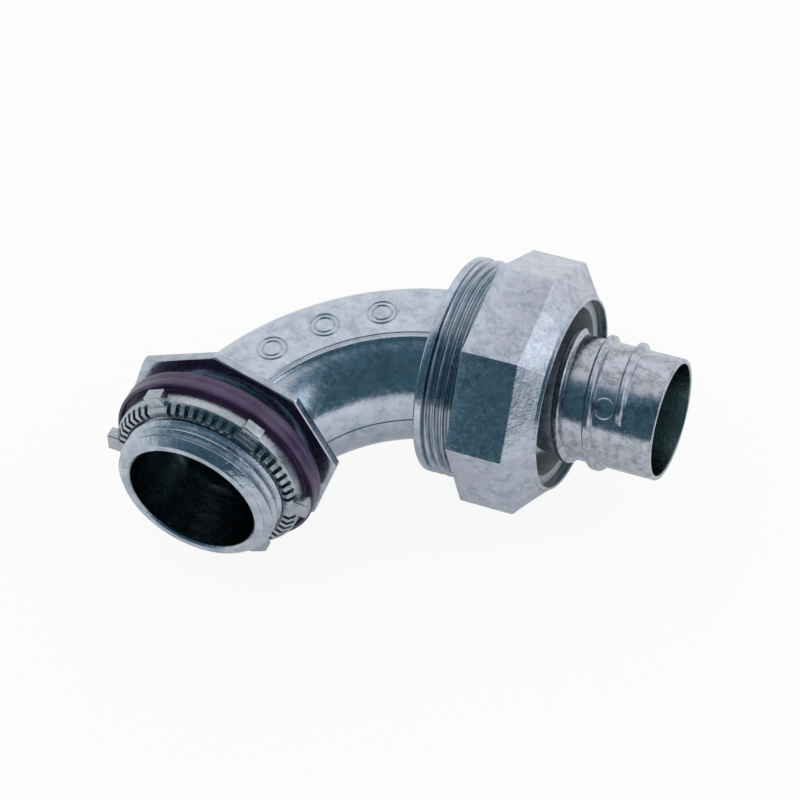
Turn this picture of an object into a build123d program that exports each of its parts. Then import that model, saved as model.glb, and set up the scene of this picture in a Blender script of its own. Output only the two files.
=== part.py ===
from build123d import *
import os
from math import cos, radians, sin

# Ninety-degree liquidtight conduit connector, 1 inch trade size, lying on its side.
# The hub points along -Y, out of the flange and through the box wall.
# The conduit end points along +X. Both axes lie in the plane Z = 0, the casting's parting plane.
# The origin is on the hub axis, in the flange face that seats against the box.

# Fits, all radial
turning_clearance = 0.08
thread_clearance = 0.08
seat_clearance = 0.15

# Hub: the end that goes through the box wall
hub_bore_radius = 13.3
hub_wall = 3.3
hub_length = 17.0
hub_lead_depth = 1.7
hub_lead_length = 1.6
hub_bore_edge = 0.4
hub_pitch = 2.209
hub_groove_depth = 1.25
hub_crest_width = 0.5
hub_thread_to_flange = 1.6

# Flange: a thin octagon with one corner up and one down
flange_sides = 8
flange_across_flats = 42.7
flange_thickness = 1.8
flange_corner_round = 0.8

# Bend: a round tube with a flat pad on each side
bend_radius = 41.3
bend_start_in_hub = 8.3
bend_end_in_collar = 6.7
tube_wall = 1.7
pad_width = 11.6
pad_rise = 0.3

# Blank rings raised on the upper pad, by their angle round the bend from the hub end
mark_angles = (30, 46, 62)
mark_radius = 3.1
mark_inner_radius = 2.1
mark_line_width = 0.4
mark_rise = 0.25
mark_root = 0.3

# Collar: the male thread of the conduit end, wide enough for its nut to hold the gland ring
collar_rise_over_ring = 2.2
collar_length = 14.4
collar_edge = 0.6
collar_band_length = 1.6
collar_pitch = 1.814
collar_groove_depth = 0.95
collar_crest_width = 0.35
relief_width = 0.7
relief_depth = 0.8

# Thread grooves: their flat floor, and how far their profile stands proud of the crests to cut clean
groove_floor_width = 0.25
groove_overcut = 0.2

# Conduit that the connector takes
conduit_radius = 16.7
conduit_clearance = 0.3

# Ferrule: its base flange turns in the body's throat
ferrule_radius = 12.15
ferrule_wall = 0.95
ferrule_reach = 35.6
ferrule_edge = 0.35
ferrule_flange_overlap = 1.0
ferrule_flange_thickness = 2.0
throat_depth = 5.0
rib_pitch = 6.2
rib_height = 1.1
rib_base_width = 2.4
rib_top_width = 0.9
rib_root = 0.4
rib_turns = 3.158
rib_end_to_mouth = 7.1

# Gland ring: squeezed between the nut's lip and the body's mouth
gland_ring_wall = 2.8
gland_ring_length = 6.0
gland_ring_bevel = 1.6
mouth_bevel = 1.6

# Gland nut: an octagon whose front narrows to a raised lip round its mouth
nut_sides = 8
nut_wall = 1.9
nut_flat_length = 11.2
nut_dome_length = 4.2
nut_lip_rise = 0.7
nut_lip_taper = 26.6
nut_lip_width = 0.9
nut_lip_thickness = 1.8
nut_lip_overlap = 0.9
nut_cone_length = 2.2
nut_pocket_clearance = 0.12
nut_bore_edge = 0.5
nut_grip_length = 5.8
nut_first_corner_angle = 34.1

# Sealing ring: loose on the hub, ahead of the locknut
seal_width = 4.52
seal_thickness = 3.5
seal_gap_to_flange = 3.0
seal_recess_depth = 0.8
seal_rim_width = 0.8
seal_land_width = 2.2
seal_land_rise = 0.4
seal_edge_round = 0.35

# Locknut: a ring with six lugs and radial teeth on its front bevel, as wide as the seal that it presses
locknut_gap = 0.3
locknut_inset = 1.6
locknut_thickness = 4.1
locknut_bevel_depth = 1.3
locknut_bevel_length = 1.8
lug_count = 6
lug_overhang = 0.2
lug_width = 4.0
lug_thickness = 2.6
lug_setback = 0.8
lug_root = 1.2
first_lug_angle = 36.0
teeth_per_sector = 8
tooth_pitch_angle = 6.0
tooth_gap_width = 0.95
tooth_gap_depth = 1.5

# Places that follow from the sizes
conduit_axis_y = bend_radius - bend_start_in_hub
bend_centre = (bend_radius, -bend_start_in_hub)
hub_thread_radius = hub_bore_radius + hub_wall
tube_radius = hub_bore_radius + tube_wall
pad_height = tube_radius + pad_rise
collar_start = bend_radius - bend_end_in_collar
mouth_x = collar_start + collar_length
throat_x = mouth_x - throat_depth
ring_bore_radius = conduit_radius + conduit_clearance
ring_outer_radius = ring_bore_radius + gland_ring_wall
collar_radius = ring_outer_radius + collar_rise_over_ring
ferrule_flange_radius = ring_bore_radius + ferrule_flange_overlap
throat_radius = ferrule_flange_radius + turning_clearance
ferrule_bore_radius = ferrule_radius - ferrule_wall
ferrule_base_x = throat_x + seat_clearance
ferrule_end_x = ferrule_base_x + ferrule_reach
rib_end_x = ferrule_end_x - rib_end_to_mouth
nut_bore_radius = collar_radius + thread_clearance
nut_flat_radius = nut_bore_radius + nut_wall
nut_corner_radius = nut_flat_radius / cos(radians(180 / nut_sides))
nut_back_x = mouth_x - nut_grip_length
nut_corner_x = nut_back_x + nut_flat_length
nut_dome_x = nut_corner_x + nut_dome_length
nut_front_x = nut_dome_x + nut_lip_rise
nut_shelf_x = nut_front_x - nut_lip_thickness
nut_pocket_radius = ring_outer_radius + nut_pocket_clearance
nut_mouth_radius = ring_outer_radius - nut_lip_overlap
nut_lip_radius = nut_mouth_radius + nut_lip_width
nut_pocket_x = nut_shelf_x - gland_ring_bevel
ring_front_x = nut_shelf_x - seat_clearance
ring_back_x = ring_front_x - gland_ring_length
hub_turning_radius = hub_thread_radius + turning_clearance
seal_outer_radius = hub_turning_radius + seal_width
locknut_radius = seal_outer_radius - locknut_inset
lug_radius = seal_outer_radius + lug_overhang
seal_back_y = -seal_gap_to_flange
seal_front_y = seal_back_y - seal_thickness
seal_land_y = seal_front_y - seal_land_rise
locknut_back_y = seal_land_y - locknut_gap
locknut_front_y = locknut_back_y - locknut_thickness


def conduit_plane(x):
    """The plane across the conduit axis at x, with its own axes along Y and Z."""
    return Plane(origin=(x, conduit_axis_y, 0), x_dir=(0, 1, 0), z_dir=(1, 0, 0))


def nut_plane(x):
    """The plane across the conduit axis at x, with its own x axis through the nut's first corner."""
    corner_angle = radians(nut_first_corner_angle)
    through_corner = (0, cos(corner_angle), sin(corner_angle))
    return Plane(origin=(x, conduit_axis_y, 0), x_dir=through_corner, z_dir=(1, 0, 0))


def hub_plane(y, angle=90):
    """The plane across the hub axis at y, facing out of the hub. Its x axis is turned from +Z towards +X."""
    across = (sin(radians(angle)), 0, cos(radians(angle)))
    return Plane(origin=(0, y, 0), x_dir=across, z_dir=(0, -1, 0))


def groove_outline(pitch, crest_width, depth):
    """Points of a thread groove's section, as (out, along), with its flanks carried on past the crest."""
    top = (pitch - crest_width) / 2
    floor = groove_floor_width / 2
    proud = top + (top - floor) * groove_overcut / depth
    return [(groove_overcut, -proud), (-depth, -floor), (-depth, floor), (groove_overcut, proud)]


conduit_axis = Axis((0, conduit_axis_y, 0), (1, 0, 0))
bend_axis = Axis((bend_centre[0], bend_centre[1], 0), (0, 0, -1))
bend_section = Plane(origin=(0, bend_centre[1], 0), x_dir=(1, 0, 0), z_dir=(0, -1, 0))
conduit_half_section = Plane(origin=(0, conduit_axis_y, 0), x_dir=(1, 0, 0), z_dir=(0, 0, 1))

# Elbow body, one casting
with BuildPart() as elbow_body:
    # The bend, a round tube with a flat pad along each side
    with BuildSketch(bend_section):
        Circle(tube_radius)
        Rectangle(pad_width, 2 * pad_height)
    revolve(axis=bend_axis, revolution_arc=90)
    split(bisect_by=Plane(origin=(0, 0, 0), z_dir=(0, 1, 0)), keep=Keep.TOP)

    # The flange that seats on the box, and the hub
    with BuildSketch(hub_plane(0)):
        RegularPolygon(flange_across_flats / 2, flange_sides, major_radius=False)
        fillet(vertices(), flange_corner_round)
    extrude(amount=-flange_thickness)
    with BuildSketch(hub_plane(0)):
        Circle(hub_thread_radius)
    extrude(amount=hub_length)

    # The hub's right-handed thread, and the lead trimmed at its end
    with BuildLine() as hub_line:
        Helix(
            pitch=hub_pitch,
            height=hub_length + hub_pitch - hub_thread_to_flange,
            radius=hub_thread_radius,
            center=(0, -hub_length - hub_pitch, 0),
            direction=(0, 1, 0),
        )
    with BuildSketch(Plane(origin=hub_line.line @ 0, x_dir=(0, 0, 1), z_dir=hub_line.line % 0)):
        with BuildLine():
            Polyline(*groove_outline(hub_pitch, hub_crest_width, hub_groove_depth), close=True)
        make_face()
    sweep(path=hub_line.line, is_frenet=True, mode=Mode.SUBTRACT)
    with BuildSketch(Plane.XY):
        with BuildLine():
            Polyline(
                (hub_thread_radius - hub_lead_depth, -hub_length),
                (hub_thread_radius, -hub_length + hub_lead_length),
                (hub_turning_radius, -hub_length + hub_lead_length),
                (hub_turning_radius, -hub_length),
                close=True,
            )
        make_face()
    revolve(axis=Axis.Y, mode=Mode.SUBTRACT)

    # The collar, with a relief groove between its plain band and its thread
    with BuildSketch(conduit_plane(collar_start)):
        Circle(collar_radius)
    extrude(amount=collar_length)
    collar_ends = faces().filter_by(Axis.X).filter_by(lambda face: face.center().X > throat_x)
    chamfer(collar_ends.edges(), collar_edge)
    with BuildSketch(conduit_plane(collar_start + collar_band_length)):
        Circle(collar_radius + relief_depth)
        Circle(collar_radius - relief_depth, mode=Mode.SUBTRACT)
    extrude(amount=relief_width, mode=Mode.SUBTRACT)

    # The passage: straight in the hub, round the bend, and straight into the throat
    with BuildSketch(hub_plane(-bend_start_in_hub)):
        Circle(hub_bore_radius)
    extrude(amount=hub_length - bend_start_in_hub, mode=Mode.SUBTRACT)
    with BuildSketch(bend_section):
        Circle(hub_bore_radius)
    revolve(axis=bend_axis, revolution_arc=90, mode=Mode.SUBTRACT)
    with BuildSketch(conduit_plane(bend_radius)):
        Circle(hub_bore_radius)
    extrude(amount=throat_x - bend_radius, mode=Mode.SUBTRACT)

    # The throat that holds the ferrule's base, opening as a cone towards the gland ring
    with BuildSketch(conduit_half_section):
        with BuildLine():
            Polyline(
                (throat_x, 0),
                (throat_x, throat_radius),
                (mouth_x - mouth_bevel, throat_radius),
                (mouth_x, throat_radius + mouth_bevel),
                (mouth_x, 0),
                close=True,
            )
        make_face()
    revolve(axis=conduit_axis, mode=Mode.SUBTRACT)
    hub_mouth = edges().filter_by(GeomType.CIRCLE).sort_by(Axis.Y)[0:2].sort_by(SortBy.RADIUS)[0]
    chamfer(hub_mouth, hub_bore_edge)

    # The collar's right-handed thread: its groove starts beside the relief and runs out at the mouth
    relief_end = collar_start + collar_band_length + relief_width
    collar_groove_start = relief_end + (collar_pitch - collar_crest_width / 2) / 2
    with BuildLine() as collar_line:
        Helix(
            pitch=collar_pitch,
            height=mouth_x + collar_pitch - collar_groove_start,
            radius=collar_radius,
            center=(collar_groove_start, conduit_axis_y, 0),
            direction=(1, 0, 0),
        )
    with BuildSketch(Plane(origin=collar_line.line @ 0, x_dir=(0, 0, 1), z_dir=collar_line.line % 0)):
        with BuildLine():
            Polyline(*groove_outline(collar_pitch, collar_crest_width, collar_groove_depth), close=True)
        make_face()
    sweep(path=collar_line.line, is_frenet=True, mode=Mode.SUBTRACT)

    # Blank rings on the upper pad
    for mark_angle in mark_angles:
        mark_x = bend_centre[0] - bend_radius * cos(radians(mark_angle))
        mark_y = bend_centre[1] + bend_radius * sin(radians(mark_angle))
        with BuildSketch(Plane(origin=(mark_x, mark_y, pad_height - mark_root))):
            for radius in (mark_radius, mark_inner_radius):
                Circle(radius)
                Circle(radius - mark_line_width, mode=Mode.SUBTRACT)
        extrude(amount=mark_root + mark_rise)
elbow_body.part.label = "elbow_body"

# Ferrule: a thin tube with a base flange and one right-handed rib
with BuildPart() as ferrule:
    with BuildSketch(conduit_plane(ferrule_base_x)):
        Circle(ferrule_flange_radius)
    extrude(amount=ferrule_flange_thickness)
    with BuildSketch(conduit_plane(ferrule_base_x)):
        Circle(ferrule_radius)
    extrude(amount=ferrule_reach)
    with BuildLine() as rib_line:
        Helix(
            pitch=rib_pitch,
            height=rib_pitch * rib_turns,
            radius=ferrule_radius,
            center=(rib_end_x - rib_pitch * rib_turns, conduit_axis_y, 0),
            direction=(1, 0, 0),
        )
    rib_start = rib_line.line @ 0
    rib_plane = Plane(origin=rib_start, x_dir=(0, 0, 1), z_dir=rib_line.line % 0)
    with BuildSketch(rib_plane):
        with BuildLine():
            Polyline(
                (-rib_root, -rib_base_width / 2),
                (rib_height, -rib_top_width / 2),
                (rib_height, rib_top_width / 2),
                (-rib_root, rib_base_width / 2),
                close=True,
            )
        make_face()
    sweep(path=rib_line.line, is_frenet=True)
    with BuildSketch(conduit_plane(ferrule_base_x)):
        Circle(ferrule_bore_radius)
    extrude(amount=ferrule_reach, mode=Mode.SUBTRACT)
    ferrule_rims = edges().filter_by(GeomType.CIRCLE).group_by(Axis.X)[-1]
    chamfer(ferrule_rims.sort_by(SortBy.RADIUS)[-1], ferrule_edge)
ferrule.part.label = "ferrule"

# Gland ring, bevelled at both ends of its outside
with BuildPart() as gland_ring:
    with BuildSketch(conduit_half_section):
        with BuildLine():
            Polyline(
                (ring_back_x, ring_bore_radius),
                (ring_back_x, ring_outer_radius - gland_ring_bevel),
                (ring_back_x + gland_ring_bevel, ring_outer_radius),
                (ring_front_x, ring_outer_radius),
                (ring_front_x, ring_bore_radius),
                close=True,
            )
        make_face()
    revolve(axis=conduit_axis)
gland_ring.part.label = "gland_ring"

# Gland nut: the octagon, its front running from the eight sides to the round lip
with BuildPart() as gland_nut:
    with BuildSketch(nut_plane(nut_back_x)):
        RegularPolygon(nut_corner_radius, nut_sides)
    extrude(amount=nut_flat_length)
    with BuildSketch(nut_plane(nut_corner_x)):
        RegularPolygon(nut_corner_radius, nut_sides)
    with BuildSketch(nut_plane(nut_dome_x)):
        Circle(nut_lip_radius)
    loft(ruled=True)
    with BuildSketch(nut_plane(nut_dome_x)):
        Circle(nut_lip_radius)
    extrude(amount=nut_lip_rise, taper=nut_lip_taper)

    # The mouth, the pocket for the gland ring, and the bore that runs on the collar
    with BuildSketch(conduit_half_section):
        with BuildLine():
            Polyline(
                (nut_front_x, 0),
                (nut_front_x, nut_mouth_radius),
                (nut_shelf_x, nut_mouth_radius),
                (nut_shelf_x, nut_pocket_radius),
                (nut_pocket_x, nut_pocket_radius),
                (nut_pocket_x - nut_cone_length, nut_bore_radius),
                (nut_back_x + nut_bore_edge, nut_bore_radius),
                (nut_back_x, nut_bore_radius + nut_bore_edge),
                (nut_back_x, 0),
                close=True,
            )
        make_face()
    revolve(axis=conduit_axis, mode=Mode.SUBTRACT)
gland_nut.part.label = "gland_nut"

# Sealing ring: a thick flat ring with a recess in the face towards the locknut
with BuildPart() as sealing_ring:
    with BuildSketch(hub_plane(seal_back_y)):
        Circle(seal_outer_radius)
    extrude(amount=seal_thickness)
    fillet(edges().filter_by(GeomType.CIRCLE), seal_edge_round)
    with BuildSketch(hub_plane(seal_front_y + seal_recess_depth)):
        Circle(seal_outer_radius - seal_rim_width)
    extrude(amount=seal_recess_depth, mode=Mode.SUBTRACT)
    with BuildSketch(hub_plane(seal_front_y + seal_recess_depth)):
        Circle(hub_turning_radius + seal_land_width)
    extrude(amount=seal_recess_depth + seal_land_rise)
    with BuildSketch(hub_plane(seal_back_y)):
        Circle(hub_turning_radius)
    extrude(amount=seal_thickness + seal_land_rise, mode=Mode.SUBTRACT)
sealing_ring.part.label = "sealing_ring"

# Locknut: a bevelled ring with lugs, and teeth cut across the bevel between the lugs
with BuildPart() as locknut:
    with BuildSketch(hub_plane(locknut_back_y)):
        Circle(locknut_radius)
    extrude(amount=locknut_thickness)
    locknut_rim = faces().sort_by(Axis.Y)[0].edges()
    chamfer(locknut_rim, length=locknut_bevel_depth, length2=locknut_bevel_length)
    tooth_middle_radius = locknut_radius - locknut_bevel_depth
    with BuildSketch(hub_plane(locknut_front_y + tooth_gap_depth, first_lug_angle)):
        for tooth in range(teeth_per_sector):
            tooth_angle = 180 / lug_count + (tooth - (teeth_per_sector - 1) / 2) * tooth_pitch_angle
            with PolarLocations(tooth_middle_radius, lug_count, start_angle=tooth_angle):
                Rectangle(2 * locknut_bevel_depth, tooth_gap_width)
    extrude(amount=2 * tooth_gap_depth, mode=Mode.SUBTRACT)
    lug_root_radius = locknut_radius - lug_root
    with BuildSketch(hub_plane(locknut_back_y - lug_setback, first_lug_angle)):
        with PolarLocations((lug_root_radius + lug_radius) / 2, lug_count):
            Rectangle(lug_radius - lug_root_radius, lug_width)
    extrude(amount=lug_thickness)
    with BuildSketch(hub_plane(locknut_back_y)):
        Circle(hub_turning_radius)
    extrude(amount=locknut_thickness, mode=Mode.SUBTRACT)
locknut.part.label = "locknut"

os.makedirs("parts", exist_ok=True)
for piece in (elbow_body, sealing_ring, locknut, ferrule, gland_ring, gland_nut):
    export_step(piece.part, f"parts/{piece.part.label}.step")
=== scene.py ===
from math import atan2, cos, pi, radians, sin, sqrt, tan

import bmesh
import bpy
from mathutils import Matrix, Quaternion, Vector


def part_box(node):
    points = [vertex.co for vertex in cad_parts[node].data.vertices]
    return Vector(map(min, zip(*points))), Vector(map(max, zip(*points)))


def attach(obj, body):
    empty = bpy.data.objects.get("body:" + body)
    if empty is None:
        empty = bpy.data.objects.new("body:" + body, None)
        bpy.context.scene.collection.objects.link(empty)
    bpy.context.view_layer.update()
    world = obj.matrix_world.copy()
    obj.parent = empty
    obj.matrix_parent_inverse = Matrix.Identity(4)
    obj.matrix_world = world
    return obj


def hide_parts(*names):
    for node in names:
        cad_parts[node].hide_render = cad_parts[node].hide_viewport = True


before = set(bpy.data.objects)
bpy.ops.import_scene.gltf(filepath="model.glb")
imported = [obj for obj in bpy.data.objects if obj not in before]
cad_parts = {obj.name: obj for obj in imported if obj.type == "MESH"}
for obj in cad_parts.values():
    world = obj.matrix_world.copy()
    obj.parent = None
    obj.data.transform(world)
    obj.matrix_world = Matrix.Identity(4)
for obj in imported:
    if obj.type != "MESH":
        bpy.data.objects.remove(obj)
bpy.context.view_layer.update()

# A right-angle liquidtight conduit connector in die-cast zinc, with its sealing ring, locknut,
# gland nut, gland ring and ferrule. Sizes and places are millimetres in the part's own frame:
# the hub points along -Y, the conduit end along +X, and the bend lies in the plane Z = 0.
MM = 0.001


def box_of(node):
    """Lowest and highest corner of a solid, in millimetres."""
    low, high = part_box(node)
    return low / MM, high / MM


body_low, body_high = box_of("elbow_body")
ferrule_low, ferrule_high = box_of("ferrule")
nut_low, nut_high = box_of("gland_nut")
ring_low, ring_high = box_of("gland_ring")
seal_low, seal_high = box_of("sealing_ring")
locknut_low, locknut_high = box_of("locknut")

# Roundings of small edges, by size
tiny_round = 0.1
fine_round = 0.15
small_round = 0.2
soft_round = 0.25
edge_round = 0.3

# How far a cutter reaches past what it cuts
cut_over = 1.0

# Fineness of the meshes
round_steps = 144
bend_steps = 56
thread_steps = 96
corner_steps = 4
edge_segments = 3
weld_distance = 0.002
smooth_angle = 32

# Threads: how far a ridge is sunk in its core, its foot as a share of the pitch, and the rounding
# of its crest as a share of its height
thread_sunk = 0.12
thread_root_share = 0.9
thread_crest_round = 0.25

# Hub
hub_axis = Vector((0, 0, 0))
hub_line = Vector((0, 1, 0))
hub_end_y = body_low.y
hub_crest_radius = 16.6
hub_root_radius = 15.35
hub_bore_radius = 13.3
hub_mouth_edge = 0.4
hub_mouth_over = 0.1
hub_mouth_flare = 1.04
hub_lip_radius = 14.9
hub_lead_length = 1.6
hub_pitch = 2.209
hub_crest_width = 0.5
hub_thread_angle = 32.6
hub_thread_start = 0.9

# Flange
flange_across_flats = 42.7
flange_thickness = 1.8
flange_corner_round = 0.8
flange_edge_round = 0.28

# Bend, and the pads on its two sides
bend_radius = 41.3
conduit_y = (ferrule_low.y + ferrule_high.y) / 2
bend_centre = Vector((bend_radius, conduit_y - bend_radius, 0))
conduit_axis = Vector((0, conduit_y, 0))
conduit_line = Vector((1, 0, 0))
tube_radius = 15.0
pad_half_width = 5.8
pad_height = 15.3
pad_edge_round = 0.3
pad_root_round = 1.4
parting_height = 0.16
parting_half_width = 0.2
bend_foot_round = 0.9
foot_steps = 5
foot_sink = 0.3

# Blank rings on the upper pad
mark_angles = (30, 46, 62)
mark_radii = (2.9, 1.9)
mark_line_radius = 0.21
mark_stretch = 1.1

# Collar
mouth_x = body_high.x
collar_back_x = 34.6
collar_crest_radius = 22.0
collar_root_radius = 21.05
collar_band_length = 1.6
collar_pitch = 1.814
collar_crest_width = 0.34
collar_thread_angle = -101.6
collar_edge_round = 0.35
collar_mouth_round = 0.4
collar_relief_length = 0.25
collar_relief_round = 0.12
collar_thread_start = 0.1
collar_thread_end = 0.9
collar_thread_fade = 0.25
throat_depth = 5.0
throat_overlap = 0.5
throat_radius = 18.08
mouth_bevel = 1.6

# Ferrule
ferrule_radius = 12.15
ferrule_bore_radius = 11.2
ferrule_flange_radius = ferrule_high.z
ferrule_flange_thickness = 2.0
ferrule_root_round = 0.6
rib_pitch = 6.2
rib_height = 1.1
rib_base_width = 2.3
rib_top_width = 0.8
rib_sunk = 0.15
rib_fade = 0.05
rib_fade_share = 0.8
rib_turns = 3.158
rib_end_x = ferrule_high.x - 7.1
pin_mark_x = 69.4
pin_mark_angle = 135.3
pin_mark_radius = 2.0
pin_mark_floor = 11.9
pin_mark_rim_height = 12.06
pin_mark_line = 0.16
pin_length = 3.0

# Gland nut
nut_sides = 8
nut_back_x = nut_low.x
nut_front_x = nut_high.x
nut_flat_radius = 23.98
nut_first_corner_angle = 34.1
nut_corner_round = 0.4
nut_side_points = 14
nut_flat_length = 11.2
nut_dome_length = 4.2
nut_lip_width = 0.9
nut_lip_rise = 0.7
nut_lip_step = 0.15
nut_groove_depth = 0.1
nut_groove_round = 0.04
nut_mouth_radius = 18.9
nut_lip_thickness = 1.8
nut_pocket_radius = 19.92
nut_pocket_length = 1.6
nut_cone_length = 2.2
nut_bore_radius = 22.08
nut_bore_edge = 0.5
nut_edge_round = 0.2

# Gland ring
ring_bore_radius = 17.0
ring_outer_radius = 19.8
ring_bevel = 1.6
ring_front_round = 0.35

# Sealing ring
seal_bore_radius = 16.68
seal_outer_radius = seal_high.x
seal_front_y = -6.5
seal_recess_depth = 0.8
seal_rim_width = 0.8
seal_land_width = 2.2
seal_back_round = 0.35
seal_line_half_width = 0.1
seal_line_depth = 0.06
seal_line_edge = 0.01

# Locknut
locknut_radius = 19.6
locknut_bevel_depth = 1.3
locknut_bevel_length = 1.8
lug_count = 6
lug_radius = 21.4
lug_inner_radius = 18.4
lug_width = 4.0
lug_thickness = 2.6
lug_setback = 0.8
first_lug_angle = 36.0
teeth_per_sector = 8
tooth_pitch_angle = 6.0
tooth_gap_width = 0.95
tooth_gap_depth = 1.5
tooth_gap_edge = 0.12
locknut_bore_edge = 0.3
locknut_bore_lead = 0.4


# Modelling

def at(point):
    """A place in millimetres as Blender's metres."""
    return Vector(point) * MM


def to_object_mode():
    """Leaves edit mode, with nothing selected."""
    if bpy.context.object and bpy.context.object.mode != "OBJECT":
        bpy.ops.object.mode_set(mode="OBJECT")
    bpy.ops.object.select_all(action="DESELECT")


def take(piece):
    """Makes the piece the only selected and the active one."""
    to_object_mode()
    piece.select_set(True)
    bpy.context.view_layer.objects.active = piece


def edit(piece, kind="VERT"):
    """Opens the piece in edit mode with all of it selected."""
    take(piece)
    bpy.ops.object.mode_set(mode="EDIT")
    bpy.ops.mesh.select_mode(type=kind)
    bpy.ops.mesh.select_all(action="SELECT")


def primitive(name, add, place, **settings):
    """Adds a primitive at its place and names it."""
    to_object_mode()
    add(location=at(place), **settings)
    piece = bpy.context.object
    piece.name = piece.data.name = name
    return piece


def settle(piece):
    """Puts the object at the origin, unturned, with its place in its mesh."""
    take(piece)
    bpy.ops.object.transform_apply(location=True, rotation=True, scale=True)


def choose(piece, kind, test):
    """Selects the vertices, edges or faces that pass the test, and says how many there are."""
    bpy.ops.mesh.select_mode(type=kind)
    bpy.ops.mesh.select_all(action="DESELECT")
    mesh = bmesh.from_edit_mesh(piece.data)
    parts = {"VERT": mesh.verts, "EDGE": mesh.edges, "FACE": mesh.faces}[kind]
    chosen = [part for part in parts if test(part)]
    for part in chosen:
        part.select = True
    mesh.select_flush_mode()
    bmesh.update_edit_mesh(piece.data)
    return len(chosen)


def wire(name, points, origin=(0, 0, 0), closed=True):
    """A line through the points, drawn by extruding one vertex. The object's origin is put where asked."""
    piece = primitive(name, bpy.ops.mesh.primitive_plane_add, origin, size=MM)
    edit(piece)
    bpy.ops.mesh.merge(type="CENTER")
    bpy.ops.transform.translate(value=at(points[0]) - at(origin))
    route = list(points) + ([points[0]] if closed else [])
    for before, after in zip(route, route[1:]):
        bpy.ops.mesh.extrude_vertices_move(TRANSFORM_OT_translate={"value": at(after) - at(before)})
    weld()
    return piece


def weld():
    """Merges doubled vertices of the piece in edit mode."""
    bpy.ops.mesh.select_all(action="SELECT")
    bpy.ops.mesh.remove_doubles(threshold=weld_distance * MM)


def face_outwards():
    """Closes any hole and turns every face of the piece in edit mode outwards."""
    bpy.ops.mesh.select_all(action="SELECT")
    bpy.ops.mesh.normals_make_consistent(inside=False)


def carry_on(axis, centre, stops, level, radius):
    """Extrudes the selected round rim through the stops, each given as (along, out), and leaves the last one
    selected. The rim starts at this level along the axis, with this radius."""
    flat = Vector((1, 1, 1)) - axis
    for along, out in stops:
        bpy.ops.mesh.extrude_edges_move(TRANSFORM_OT_translate={"value": axis * (along - level) * MM})
        bpy.ops.transform.resize(value=flat * (out / radius) + axis, center_override=at(centre))
        level, radius = along, out


def rounded(corners):
    """The closed outline through the corners, each (along, out) or (along, out, rounding)."""
    points = []
    for before, corner, after in zip(corners[-1:] + corners[:-1], corners, corners[1:] + corners[:1]):
        here = Vector(corner[:2])
        if len(corner) == 2:
            points.append(here)
            continue
        back = (Vector(before[:2]) - here).normalized()
        ahead = (Vector(after[:2]) - here).normalized()
        half = back.angle(ahead) / 2
        centre = here + (back + ahead).normalized() * corner[2] / sin(half)
        start = here + back * corner[2] / tan(half) - centre
        end = here + ahead * corner[2] / tan(half) - centre
        sweep = atan2(start.cross(end), start.dot(end))
        for step in range(corner_steps + 1):
            points.append(centre + Matrix.Rotation(sweep * step / corner_steps, 2) @ start)
    return points


def turned(name, outline, centre, axis, out):
    """A turned piece: the outline, as (along the axis, away from it), spun once round.
    An outline that starts and ends on the axis is left open there."""
    centre, axis, out = Vector(centre), Vector(axis), Vector(out)
    hollow = outline[0][1] > 0 or outline[-1][1] > 0
    piece = wire(name, [centre + axis * along + out * radius for along, radius in outline], closed=hollow)
    bpy.ops.mesh.select_all(action="SELECT")
    bpy.ops.mesh.spin(steps=round_steps, angle=2 * pi, center=at(centre), axis=axis)
    weld()
    face_outwards()
    settle(piece)
    return piece


def about_hub(name, outline):
    """A piece turned about the hub's axis. The outline gives Y and radius."""
    return turned(name, outline, hub_axis, hub_line, (0, 0, 1))


def about_conduit(name, outline):
    """A piece turned about the conduit's axis. The outline gives X and radius."""
    return turned(name, outline, conduit_axis, conduit_line, (0, 0, 1))


def add_modifier(piece, kind, **settings):
    """Adds a modifier with its settings and applies it."""
    modifier = piece.modifiers.new(kind.lower(), kind)
    for setting, value in settings.items():
        setattr(modifier, setting, value)
    take(piece)
    bpy.ops.object.modifier_apply(modifier=modifier.name)


def combine(piece, other, operation):
    """Joins another solid to the piece, or cuts it away, and clears up after it."""
    add_modifier(piece, "BOOLEAN", operation=operation, object=other, solver="EXACT")
    bpy.data.objects.remove(other)
    edit(piece)
    weld()
    to_object_mode()


def joined(pieces):
    """Several objects as one mesh."""
    take(pieces[0])
    for piece in pieces[1:]:
        piece.select_set(True)
    if len(pieces) > 1:
        bpy.ops.object.join()
    return bpy.context.object


def helix(name, section, centre, along, start_angle, pitch, turns, fade_turns=0.0, fade_depth=0.0):
    """A right-handed ridge. The section is (along, away), where the ridge starts, at start_angle from +Z.
    Over fade_turns at each end the ridge sinks by fade_depth into what it stands on."""
    centre = Vector(centre)
    out = Vector((0, 0, 1))
    points = [centre + along * step + out * radius for step, radius in section]
    ridge = wire(name, points, origin=centre)
    lengths = int(turns) + 1
    steps = round(thread_steps * turns / lengths)
    add_modifier(
        ridge,
        "SCREW",
        axis="X" if along.x else "Y",
        angle=2 * pi * turns / lengths,
        screw_offset=pitch * turns / lengths * MM,
        iterations=lengths,
        steps=steps,
        render_steps=steps,
        use_merge_vertices=False,
    )
    last_ring = len(ridge.data.vertices) // len(section) - 1
    for vertex in ridge.data.vertices:
        turn = turns * (vertex.index // len(section)) / last_ring
        from_end = min(turn, turns - turn)
        if from_end < fade_turns:
            share = from_end / fade_turns
            sink = 1 - share * share * (3 - 2 * share)
            away = vertex.co - vertex.co.project(along)
            vertex.co -= away.normalized() * sink * fade_depth * MM
    ridge.rotation_euler = along * start_angle
    settle(ridge)
    edit(ridge, "EDGE")
    bpy.ops.mesh.select_all(action="DESELECT")
    bpy.ops.mesh.select_non_manifold()
    bpy.ops.mesh.fill_holes(sides=0)
    face_outwards()
    to_object_mode()
    return ridge


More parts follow.
